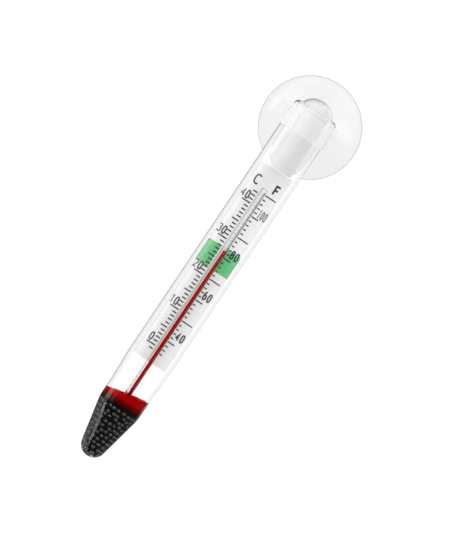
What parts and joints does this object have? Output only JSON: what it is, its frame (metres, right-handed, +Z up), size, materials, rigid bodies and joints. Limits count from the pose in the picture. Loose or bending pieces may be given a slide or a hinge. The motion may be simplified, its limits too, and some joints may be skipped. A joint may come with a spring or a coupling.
{
  "type": "glass tube thermometer with suction cup",
  "caption": "Glass tube thermometer with a red spirit column, printed C and F scales, a shot-weighted tip and a collar on a suction cup.",
  "frame": {"origin": "centre of the suction cup's rim, in the plane that meets the pane, level with the middle of the collar", "axes": "+Z up along the tube to its dome, +Y into the pane that the cup sticks to, +X to the right as the scale is read"},
  "size_m": [0.0274, 0.0223, 0.1161],
  "materials": {
    "clear_vinyl": "gloss",
    "clear_glass": "polished",
    "white_card": "matte",
    "white_foam": "matte",
    "white_glass": "polished",
    "red_spirit": "gloss",
    "red_wax": "satin",
    "black_shot": "satin"
  },
  "bodies": {
    "cup": {"cup_bell": "clear_vinyl"},
    "knob": {"cup_knob": "clear_vinyl"},
    "collar": {"collar": "clear_vinyl"},
    "carriage": {"shot_core": "black_shot"},
    "tube": {"envelope_tube": "clear_glass", "envelope_dome": "clear_glass", "scale_card": "white_card", "spacer_plug": "white_foam", "capillary": "white_glass", "bulb": "clear_glass", "spirit_reservoir": "red_spirit", "spirit_thread": "red_spirit", "wax_plug": "red_wax", "shot_row_01": "black_shot", "shot_row_02": "black_shot", "shot_row_03": "black_shot", "shot_row_04": "black_shot", "shot_row_05": "black_shot", "shot_row_06": "black_shot", "shot_row_07": "black_shot", "shot_row_08": "black_shot", "shot_row_09": "black_shot", "shot_row_10": "black_shot", "shot_row_11": "black_shot", "shot_row_12": "black_shot"},
    "column": {"spirit_meniscus": "red_spirit"}
  },
  "joints": [
    {"name": "cup_press", "type": "slide", "parent": "cup", "child": "knob", "axis": [0, 1, 0], "range_m": [0, 0.0025], "stiffness_N_per_m": 2000, "deforming": ["cup_bell"]},
    {"name": "collar_swivel", "type": "hinge", "parent": "knob", "child": "collar", "pos_m": [0, -0.0075, 0], "axis": [0, 1, 0], "continuous": true},
    {"name": "tube_slide", "type": "slide", "parent": "collar", "child": "carriage", "axis": [0, 0, 1], "range_m": [-0.002, 0.069]},
    {"name": "tube_turn", "type": "hinge", "parent": "carriage", "child": "tube", "pos_m": [0, -0.015, -0.05], "axis": [0, 0, 1], "continuous": true},
    {"name": "spirit_level", "type": "slide", "parent": "tube", "child": "column", "axis": [0, 0, 1], "range_m": [-0.0315, 0.017], "deforming": ["spirit_thread"]}
  ]
}
